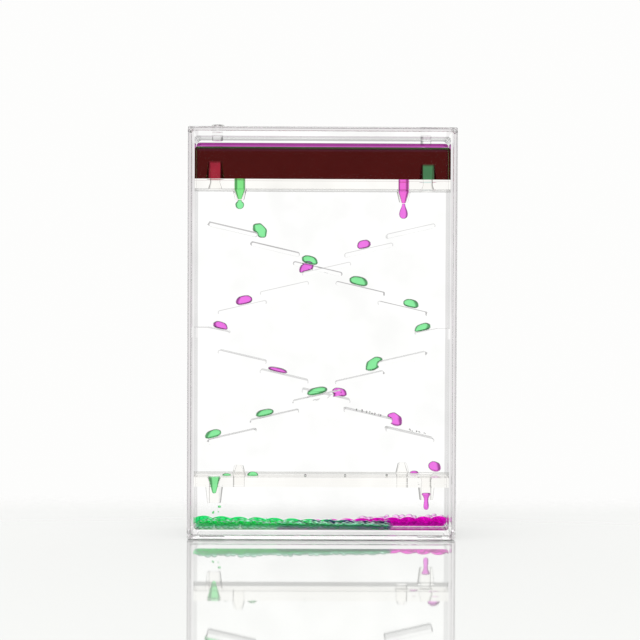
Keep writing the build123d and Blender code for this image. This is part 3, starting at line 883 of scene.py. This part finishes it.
@dataclass
class Tank:
    """The inner tank: two trays with their ramps, the divider, and the baffles with their tubes."""

    pocket_half_width: float = 42.85 * MM
    pocket_low: float = 3.0 * MM
    pocket_high: float = 135.0 * MM
    pocket_face: float = 13.05 * MM
    divider_face: float = 0.75 * MM
    wall_margin: float = 0.3 * MM
    bond_band: float = 0.02 * MM
    rib_gap: float = 0.05 * MM
    free_edge: float = 0.25 * MM
    aside: float = 0.5
    least_facing: float = 0.3
    edge_shade_above: float = -0.45

    def build(self) -> None:
        """Make the trays, the divider and the baffles."""
        for side in Side:
            self.tray(side)
            for level in ("upper", "lower"):
                self.baffle(side, level)
        self.divider()

    def tray(self, side: Side) -> None:
        """Make one tray: air outside, oil inside, bonded to the divider, and the ramps' rounded free edges
        painted dark as shade.

        Args:
            side: The compartment that it forms.
        """
        node = f"tank_{side.name.lower()}_tray"
        shape = MeshBench.merged(node)
        self.round_free_edges(shape)
        MeshBench.sort_faces(shape, self.tray_face_kind)
        # Painted shade: the ramps' rounded free edges take a dark grey tint, the rear ones lighter.
        free_edge = FRONT_RAMP_EDGE_SHADE if side is Side.FRONT else REAR_RAMP_EDGE_SHADE
        MeshBench.piece(shape, f"{node}_clear", [TANK_EDGE, TANK_WETTED, BOND, free_edge], TIMER_BODY, node,
                        slot="tank")

    def round_free_edges(self, shape: bmesh.types.BMesh) -> None:
        """Take off the edges round the free ends of the ramps and the ledge, which stand beside the divider.

        Args:
            shape: The tray's mesh.
        """
        shape.normal_update()
        free_y = self.divider_face + self.rib_gap
        edges = []
        for edge in shape.edges:
            astray = any(abs(abs(vertex.co.y) - free_y) > self.bond_band for vertex in edge.verts)
            if astray or len(edge.link_faces) != 2:
                continue
            less, more = sorted(abs(face.normal.y) for face in edge.link_faces)
            if less < self.aside and more > FACING:
                edges.append(edge)
        bmesh.ops.bevel(shape, geom=edges, offset=self.free_edge, segments=1, profile=ROUND_PROFILE,
                        affect="EDGES", clamp_overlap=False)

    def tray_face_kind(self, centre: Vector, normal: Vector) -> int:
        """Tell an edge in air, 0, a wetted, 1, a bonded or close, 2, and a rounded face painted dark as
        shade, 3, apart.

        Args:
            centre: The face's centre.
            normal: The face's normal.

        Returns:
            The number of the face's finish.
        """
        if StopperHole.holds(centre, normal):
            return 2
        depth = abs(centre.y)
        beyond = depth > self.pocket_face + self.wall_margin
        if abs(normal.y) > FACING and (beyond or depth < self.divider_face + self.bond_band):
            return 2
        outside = (
            beyond
            or abs(centre.x) > self.pocket_half_width + self.wall_margin
            or centre.z < self.pocket_low - self.wall_margin
            or centre.z > self.pocket_high + self.wall_margin
        )
        if outside:
            return 0
        free = depth < self.divider_face + self.rib_gap + self.free_edge
        # The rounded faces that don't face steeply down are painted dark as shade.
        slanting = self.least_facing < abs(normal.y) < FACING and normal.z > self.edge_shade_above
        return 3 if free and slanting else 1

    def divider(self) -> None:
        """Make the divider, cut along the pockets' outline, where its bonded border ends."""
        shape = MeshBench.merged("centre_divider")
        for point, direction in (
            ((-self.pocket_half_width, 0, 0), (1, 0, 0)),
            ((self.pocket_half_width, 0, 0), (1, 0, 0)),
            ((0, 0, self.pocket_low), (0, 0, 1)),
            ((0, 0, self.pocket_high), (0, 0, 1)),
        ):
            MeshBench.cut(shape, point, direction)
        MeshBench.sort_faces(shape, self.divider_face_kind)
        MeshBench.piece(shape, "centre_divider_clear", [TANK_EDGE, TANK_WETTED, BOND], TIMER_BODY,
                        "centre_divider", slot="tank")

    def divider_face_kind(self, centre: Vector, normal: Vector) -> int:
        """Tell the divider's edge, 0, its wetted middle, 1, and its bonded border, 2, apart.

        Args:
            centre: The face's centre.
            normal: The face's normal.

        Returns:
            The number of the face's finish.
        """
        if abs(normal.y) < FACING:
            return 0
        inside = abs(centre.x) < self.pocket_half_width and self.pocket_low < centre.z < self.pocket_high
        return 1 if inside else 2

    def baffle(self, side: Side, level: str) -> None:
        """Make one baffle, which the oil wets all round.

        Args:
            side: The compartment that it stands in.
            level: Upper or lower, as in the node's name.
        """
        node = f"{side.name.lower()}_{level}_baffle"
        MeshBench.piece(MeshBench.merged(node), f"{node}_clear", [BAFFLE_WETTED], TIMER_BODY, node,
                        slot="baffle")


@dataclass
class Oil:
    """The clear oil that fills the rest of both compartments."""

    inset: float = 0.03 * MM
    corner: float = 1.0 * MM
    corner_steps: int = 3

    def build(self, tank: Tank) -> None:
        """Make the oil of both compartments.

        Args:
            tank: The tank that holds it.
        """
        for side in Side:
            self.body(side, tank)

    def body(self, side: Side, tank: Tank) -> None:
        """Make one compartment's oil as a block with rounded edges.

        Args:
            side: The compartment.
            tank: The tank that holds it.
        """
        inset = Vector((self.inset,) * 3)
        low = Vector((-tank.pocket_half_width, tank.divider_face, tank.pocket_low)) + inset
        high = Vector((tank.pocket_half_width, tank.pocket_face, tank.pocket_high)) - inset
        shape = bmesh.new()
        bmesh.ops.create_cube(shape, size=1.0)
        for vertex in shape.verts:
            for axis in range(3):
                vertex.co[axis] = high[axis] if vertex.co[axis] > 0 else low[axis]
            vertex.co.y *= side.value
        bmesh.ops.bevel(shape, geom=shape.edges[:], offset=self.corner, segments=self.corner_steps,
                        profile=ROUND_PROFILE, affect="EDGES")
        bmesh.ops.recalc_face_normals(shape, faces=shape.faces)
        name = side.name.lower()
        MeshBench.piece(shape, f"{name}_clear_oil", [OIL_CLEAR], TIMER_BODY, f"{name}_clear_liquid",
                        slot="clear_liquid")


@dataclass
class Drops:
    """The free drops, rounded by surface tension, and the liquid caught in the tubes and on the baffles."""

    skin: float = 0.16 * MM
    pull: float = 0.5
    rounding: int = 130
    hooked_rounding: int = 55
    thin_rounding: int = 10
    swell: float = 0.05 * MM
    falling: str = "pink_falling_drop"
    falling_tilt: float = 20.0
    thin: tuple[str, ...] = ("pink_drain_drop", "green_pendant_drop", "pink_pendant_drop")
    hooked: tuple[str, ...] = ("green_drop_1", "green_drop_6", "pink_drop_7")
    still: tuple[str, ...] = ("green_drain_slug", "green_puddle", "green_bead", "pink_puddle")

    def build(self) -> None:
        """Make every drop that moves and every one that lies still."""
        for joint in frame["joints"]:
            name = joint["child"].removesuffix("_body")
            self.drop(name, joint["child"])
        for name in self.still:
            self.drop(name, TIMER_BODY)

    def drop(self, node: str, body: str) -> None:
        """Make one drop.

        Args:
            node: The CAD node that it stands for.
            body: The body that it rides on.
        """
        dye = Dye(node.split("_")[0])
        shape = MeshBench.merged(node)
        if node == self.falling:
            middle = sum((vertex.co for vertex in shape.verts), Vector()) / len(shape.verts)
            turn = Matrix.Rotation(math.radians(self.falling_tilt), 3, "Y")
            bmesh.ops.rotate(shape, verts=shape.verts, cent=middle, matrix=turn)
        mesh = bpy.data.meshes.new(f"{node}_rough")
        shape.to_mesh(mesh)
        shape.free()
        rough = bpy.data.objects.new(f"{node}_rough", mesh)
        bpy.context.scene.collection.objects.link(rough)
        skin = rough.modifiers.new("skin", "REMESH")
        skin.mode = "VOXEL"
        skin.voxel_size = self.skin
        tension = rough.modifiers.new("tension", "SMOOTH")
        tension.factor = self.pull
        thin = node in self.still or node in self.thin
        tension.iterations = self.hooked_rounding if node in self.hooked else self.rounding
        if thin:
            tension.iterations = self.thin_rounding
        else:
            fuller = rough.modifiers.new("fuller", "DISPLACE")
            fuller.strength = self.swell
            fuller.mid_level = 0.0
        made = MeshBench.baked(rough, f"{node}_round")
        MeshBench.dressed(made, f"{node}_round", [DYES[dye].drop], body, node, slot=f"{dye.value}_liquid")


@dataclass
class Pools:
    """The dyed pools above the upper baffles, each with the stream that fills its nozzle."""

    def build(self) -> None:
        """Make both pools."""
        for dye in Dye:
            node = f"{dye.value}_reservoir"
            MeshBench.piece(MeshBench.merged(node), f"{node}_water", [DYES[dye].pool], TIMER_BODY, node,
                            slot=f"{dye.value}_liquid")


class Grown(NodeRecipe):
    """Geometry Nodes that set balls on points; the ends that its trees share."""

    kind = "GeometryNodeTree"

    @staticmethod
    def balls(board: NodeBoard, points: bpy.types.NodeSocket, offset: bpy.types.NodeSocket,
              radius: bpy.types.NodeSocket, size: bpy.types.NodeSocket) -> bpy.types.NodeSocket:
        """Set a ball on each point.

        Args:
            board: The tree's board.
            points: The points' mesh.
            offset: The way by which each point is moved first.
            radius: The ball's radius.
            size: Each ball's own scale.

        Returns:
            The instances.
        """
        moved = board.add("GeometryNodeSetPosition", {"Geometry": points, "Offset": offset})
        ball = board.add("GeometryNodeMeshIcoSphere", {"Subdivisions": BALL_SUBDIVISIONS, "Radius": radius})
        spread = board.add("GeometryNodeInstanceOnPoints",
                           {"Points": moved.outputs[0], "Instance": ball.outputs["Mesh"], "Scale": size})
        return spread.outputs[0]

    @staticmethod
    def dressed(board: NodeBoard, balls: bpy.types.NodeSocket,
                finish: bpy.types.NodeSocket) -> bpy.types.NodeSocket:
        """Turn the instances into a mesh and give it its material.

        Args:
            board: The tree's board.
            balls: The instances.
            finish: The material.

        Returns:
            The mesh.
        """
        whole = board.add("GeometryNodeRealizeInstances", {0: balls})
        dress = board.add("GeometryNodeSetMaterial", {"Geometry": whole.outputs[0], "Material": finish})
        return dress.outputs[0]


@dataclass(frozen=True)
class HeapTree(Grown):
    """Geometry Nodes: rows of small round drops that lie against each other in a heap which thins along X."""

    name: str = "heap_of_small_drops"
    inputs: Sockets = (
        ("Geometry", "Geometry"), ("Length", "Float"), ("Depth", "Float"), ("Start", "Vector"),
        ("Rise At Start", "Float"), ("Rise At End", "Float"), ("Drop Radius", "Float"), ("Columns", "Int"),
        ("Rows", "Int"), ("Seed", "Int"), ("Finish", "Material"))
    output: tuple[str, str] = ("Geometry", "Geometry")
    layers: int = 2
    stray_share: float = 0.38
    shift_share: float = 0.7
    smallest: Point = (0.78, 0.78, 0.68)
    largest: Point = (1.18, 1.08, 0.98)

    def result(self, board: NodeBoard, taken: bpy.types.bpy_prop_collection) -> bpy.types.NodeSocket:
        """Join the layers, the lowest on the floor and the top one at the heap's rise.

        Args:
            board: The tree's board.
            taken: The tree's inputs.

        Returns:
            The heap's mesh.
        """
        heap = board.add("GeometryNodeJoinGeometry")
        board.join(taken["Geometry"], heap.inputs[0])
        for layer in range(self.layers):
            board.join(self.layer(board, taken, layer), heap.inputs[0])
        return self.dressed(board, heap.outputs[0], taken["Finish"])

    def layer(self, board: NodeBoard, taken: bpy.types.bpy_prop_collection,
              layer: int) -> bpy.types.NodeSocket:
        """Lay one layer of drops.

        Args:
            board: The tree's board.
            taken: The tree's inputs.
            layer: 0 for the lowest layer, 1 for the top one.

        Returns:
            The layer's instances.
        """
        grid = board.add("GeometryNodeMeshGrid", {
            "Size X": taken["Length"], "Size Y": taken["Depth"], "Vertices X": taken["Columns"],
            "Vertices Y": taken["Rows"]})
        spot = board.parts(board.add("GeometryNodeInputPosition").outputs[0])
        share = board.math("ADD", board.math("DIVIDE", spot["X"], taken["Length"]), 0.5)
        radius = taken["Drop Radius"]
        height = board.add("ShaderNodeCombineXYZ", {"Z": radius})
        if layer:
            rise = board.mix(share, taken["Rise At Start"], taken["Rise At End"], "FLOAT")
            top = board.math("MAXIMUM", board.math("SUBTRACT", rise, radius), radius)
            board.feed(height, {"X": board.math("MULTIPLY", radius, self.shift_share), "Z": top})
        reach = board.math("MULTIPLY", radius, self.stray_share)
        back = board.math("MULTIPLY", reach, -1.0)
        most = board.add("ShaderNodeCombineXYZ", {"X": reach, "Y": reach})
        least = board.add("ShaderNodeCombineXYZ", {"X": back, "Y": back, "Z": back})
        seed = board.math("ADD", taken["Seed"], float(layer))
        stray = board.add("FunctionNodeRandomValue",
                          {"Min": least.outputs[0], "Max": most.outputs[0], "Seed": seed},
                          data_type="FLOAT_VECTOR")
        moved = board.vector("ADD", {0: height.outputs[0], 1: stray.outputs[0]})
        placed = board.vector("ADD", {0: moved, 1: taken["Start"]})
        size = board.add("FunctionNodeRandomValue", {"Min": self.smallest, "Max": self.largest, "Seed": seed},
                         data_type="FLOAT_VECTOR")
        return self.balls(board, grid.outputs["Mesh"], placed, radius, size.outputs[0])


@dataclass
class Heap:
    """One heap of unmerged drops on the tank floor, over a bed of merged water."""

    dye: Dye
    side: Side
    start: float
    end: float
    rise_at_start: float
    rise_at_end: float
    seed: int
    depth: float = 8.9 * MM
    lane: float = 6.9 * MM
    floor: float = 3.05 * MM
    drop_radius: float = 1.25 * MM
    pitch: float = 2.05 * MM
    row_pitch: float = 3.2 * MM
    bed_from: float = 0.9 * MM
    bed_depth: float = 1.6 * MM

    def build(self) -> None:
        """Make the heap of drops, which stands for the CAD heap, and the bed below it."""
        node = f"{self.dye.value}_settled"
        length = abs(self.end - self.start) - 2 * self.drop_radius
        rises = (self.rise_at_start, self.rise_at_end)
        left_rise, right_rise = rises if self.start < self.end else reversed(rises)
        made = MeshBench.grown(f"{node}_drops", HeapTree(), {
            "Length": length,
            "Depth": self.depth,
            "Start": ((self.start + self.end) / 2, self.side.value * self.lane, self.floor),
            "Rise At Start": left_rise,
            "Rise At End": right_rise,
            "Drop Radius": self.drop_radius,
            "Columns": int(length / self.pitch),
            "Rows": int(self.depth / self.row_pitch) + 1,
            "Seed": self.seed,
            "Finish": DYES[self.dye].heap.material(),
        })
        MeshBench.dressed(made, f"{node}_drops", [], TIMER_BODY, node, slot=f"{self.dye.value}_liquid")
        self.bed(node)

    def bed(self, node: str) -> None:
        """Make the bed: the CAD heap drawn together to a slab beside the divider.

        Args:
            node: The CAD node of the heap.
        """
        shape = MeshBench.merged(node)
        low = min(abs(vertex.co.y) for vertex in shape.verts)
        high = max(abs(vertex.co.y) for vertex in shape.verts)
        for vertex in shape.verts:
            share = (abs(vertex.co.y) - low) / (high - low)
            vertex.co.y = self.side.value * (self.bed_from + self.bed_depth * share)
        MeshBench.piece(shape, f"{node}_bed", [DYES[self.dye].bed], TIMER_BODY,
                        slot=f"{self.dye.value}_liquid")


@dataclass(frozen=True)
class BubbleTree(Grown):
    """Geometry Nodes: a string of small air bubbles of uneven size along a straight line."""

    name: str = "string_of_bubbles"
    inputs: Sockets = (
        ("Geometry", "Geometry"), ("Start", "Vector"), ("End", "Vector"), ("Count", "Int"),
        ("Bubble Radius", "Float"), ("Stray", "Vector"), ("Seed", "Int"), ("Finish", "Material"))
    output: tuple[str, str] = ("Geometry", "Geometry")
    smallest: float = 0.5
    largest: float = 1.0

    def result(self, board: NodeBoard, taken: bpy.types.bpy_prop_collection) -> bpy.types.NodeSocket:
        """Set the bubbles on a line's points, each a little astray.

        Args:
            board: The tree's board.
            taken: The tree's inputs.

        Returns:
            The bubbles' mesh.
        """
        line = board.add("GeometryNodeMeshLine", mode="END_POINTS")
        board.feed(line, {"Count": taken["Count"], "Start Location": taken["Start"], "Offset": taken["End"]})
        back = board.vector("SCALE", {0: taken["Stray"], "Scale": -1.0})
        stray = board.add("FunctionNodeRandomValue",
                          {"Min": back, "Max": taken["Stray"], "Seed": taken["Seed"]},
                          data_type="FLOAT_VECTOR")
        size = board.add("FunctionNodeRandomValue",
                         {2: self.smallest, 3: self.largest, "Seed": taken["Seed"]}, data_type="FLOAT")
        balls = self.balls(board, line.outputs["Mesh"], stray.outputs[0], taken["Bubble Radius"],
                           size.outputs[1])
        return self.dressed(board, balls, taken["Finish"])


@dataclass
class BubbleString:
    """Air bubbles that cling along a ramp or a baffle; lengths in millimetres."""

    name: str
    start: Point
    end: Point
    count: int
    radius: float
    stray: Point
    seed: int
    finish: ClearFinish | DyeFinish = BUBBLE_AIR
    slot: str = "clear_liquid"

    def build(self) -> None:
        """Make the bubbles as one piece."""
        made = MeshBench.grown(self.name, BubbleTree(), {
            "Start": tuple(MM * value for value in self.start),
            "End": tuple(MM * value for value in self.end),
            "Count": self.count,
            "Bubble Radius": self.radius * MM,
            "Stray": tuple(MM * value for value in self.stray),
            "Seed": self.seed,
            "Finish": self.finish.material(),
        })
        MeshBench.dressed(made, self.name, [], TIMER_BODY, slot=self.slot)


@dataclass
class Studio:
    """The bright studio: a glossy white table that fades into a white backdrop, soft light and the camera."""

    table_reach: float = 1.6
    table_squares: int = 8
    table_drop: float = 0.15 * MM
    camera_place: Point = (-0.00495, -0.56326, 0.08358)
    camera_pitch: float = 1.049
    camera_yaw: float = -0.442
    camera_roll: float = 0.249
    camera_near: float = 0.01
    lens: float = 92.276
    sensor: float = 36.0
    lamp_place: Point = (-0.15, -0.25, 1.1)
    lamp_target: Point = (0.0, 0.0, 0.07)
    lamp_size: float = 0.8
    lamp_power: float = 3.0
    sky_tint: Colour = (1.0, 1.0, 0.992)
    sky_level: float = 0.95
    sky_seen: float = 0.985
    sky_through: float = 1.06
    level_slack: float = 1.0001
    sky_by_height: tuple = ((0.0, 1.0), (0.22, 1.0), (0.3, 0.45), (0.5, 0.4), (0.7, 0.7), (0.9, 1.0))
    sky_by_turn: tuple = ((0.0, 1.0), (0.11, 1.0), (0.2, 0.4), (0.36, 0.4), (0.46, 1.0))
    clear_bounces: int = 48
    glossy_bounces: int = 16
    sure_bounces: int = 20

    def build(self) -> None:
        """Make the table, the surroundings, the lamp, the camera and the light path limits."""
        self.table()
        self.surroundings()
        self.lamp()
        self.camera()
        self.light_paths()
        bpy.context.scene.view_settings.view_transform = "Standard"

    def table(self) -> None:
        """Make the table, whose far part fades into the backdrop."""
        shape = bmesh.new()
        bmesh.ops.create_grid(shape, x_segments=self.table_squares, y_segments=self.table_squares,
                              size=self.table_reach)
        bmesh.ops.translate(shape, verts=shape.verts, vec=(0, 0, -self.table_drop))
        mesh = bpy.data.meshes.new("table")
        shape.to_mesh(mesh)
        shape.free()
        mesh.materials.append(TableFinish().material())
        table = bpy.data.objects.new("table", mesh)
        bpy.context.scene.collection.objects.link(table)

    def surroundings(self) -> None:
        """Build the white surroundings, with soft dark zones that give clear edges their lines."""
        world = bpy.data.worlds.new("white surroundings")
        world.use_nodes = True
        bpy.context.scene.world = world
        board = NodeBoard(world.node_tree)
        way = board.parts(board.add("ShaderNodeTexCoord").outputs["Generated"])
        height = board.math("ABSOLUTE", way["Z"])
        aside = board.math("ABSOLUTE", way["X"])
        rest = board.math("SUBTRACT", self.level_slack, board.math("MULTIPLY", height, height))
        turn = board.math("DIVIDE", aside, board.math("SQRT", rest))
        zones = board.math("MULTIPLY", board.ramp(height, self.sky_by_height),
                           board.ramp(turn, self.sky_by_turn))
        through = board.math("MULTIPLY", zones, self.sky_through)
        path = board.add("ShaderNodeLightPath").outputs
        level = board.mix(path["Is Transmission Ray"], self.sky_level, through, "FLOAT")
        shown = board.mix(path["Is Camera Ray"], level, self.sky_seen, "FLOAT")
        board.feed(world.node_tree.nodes["Background"], {"Strength": shown, "Color": rgba(self.sky_tint)})

    def lamp(self) -> None:
        """Hang one large soft lamp above."""
        light = bpy.data.lights.new("soft_lamp", "AREA")
        light.shape = "DISK"
        light.size = self.lamp_size
        light.energy = self.lamp_power
        lamp = bpy.data.objects.new("soft_lamp", light)
        lamp.location = self.lamp_place
        aim = Vector(self.lamp_target) - lamp.location
        lamp.rotation_euler = aim.to_track_quat("-Z", "Y").to_euler()
        bpy.context.scene.collection.objects.link(lamp)

    def camera(self) -> None:
        """Place the camera at the photograph's angle."""
        lens = bpy.data.cameras.new("camera")
        lens.lens = self.lens
        lens.sensor_width = self.sensor
        lens.clip_start = self.camera_near
        camera = bpy.data.objects.new("camera", lens)
        camera.location = self.camera_place
        turn = Euler((math.radians(90 - self.camera_pitch), 0, math.radians(self.camera_yaw))).to_matrix()
        roll = Euler((0, 0, math.radians(self.camera_roll))).to_matrix()
        camera.rotation_euler = (turn @ roll).to_euler()
        bpy.context.scene.collection.objects.link(camera)
        bpy.context.scene.camera = camera

    def light_paths(self) -> None:
        """Let light pass all the clear walls, one behind another."""
        paths = bpy.context.scene.cycles
        paths.max_bounces = self.clear_bounces
        paths.transmission_bounces = self.clear_bounces
        paths.transparent_max_bounces = self.clear_bounces
        paths.glossy_bounces = self.glossy_bounces
        paths.min_light_bounces = self.sure_bounces
        paths.min_transparent_bounces = self.sure_bounces


def main() -> None:
    """Build the timer piece by piece, then the studio around it."""
    logging.basicConfig(level=logging.INFO, format="%(name)s %(message)s")
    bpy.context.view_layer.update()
    tank = Tank()
    Case().build()
    tank.build()
    Oil().build(tank)
    Drops().build()
    Pools().build()
    for heap in (
        Heap(Dye.GREEN, Side.FRONT, -42.4 * MM, 23.0 * MM, 3.65 * MM, 2.3 * MM, 4),
        Heap(Dye.PINK, Side.REAR, 42.0 * MM, 12.0 * MM, 3.5 * MM, 2.9 * MM, 9),
    ):
        heap.build()
    green = DYES[Dye.GREEN].drop
    for bubbles in (
        BubbleString("green_crumbs", (-36.4, -6.9, 8.6), (-35.0, -6.9, 9.8), 6, 0.45, (1.1, 0.9, 0.8), 7,
                     green, "green_liquid"),
        BubbleString("front_baffle_bubbles", (-5.5, -7.0, 20.95), (22.0, -6.0, 20.95), 3, 0.5,
                     (0.3, 2.0, 0.0), 3),
        BubbleString("rear_upper_ramp_bubbles", (12.5, 7.5, 42.6), (20.5, 7.5, 40.6), 9, 0.34,
                     (0.5, 2.5, 0.05), 5),
        BubbleString("rear_lower_ramp_bubbles", (30.0, 7.5, 35.71), (36.0, 7.5, 34.3), 8, 0.34,
                     (0.5, 2.5, 0.05), 6),
    ):
        bubbles.build()
    Studio().build()


if __name__ == "__main__":
    main()
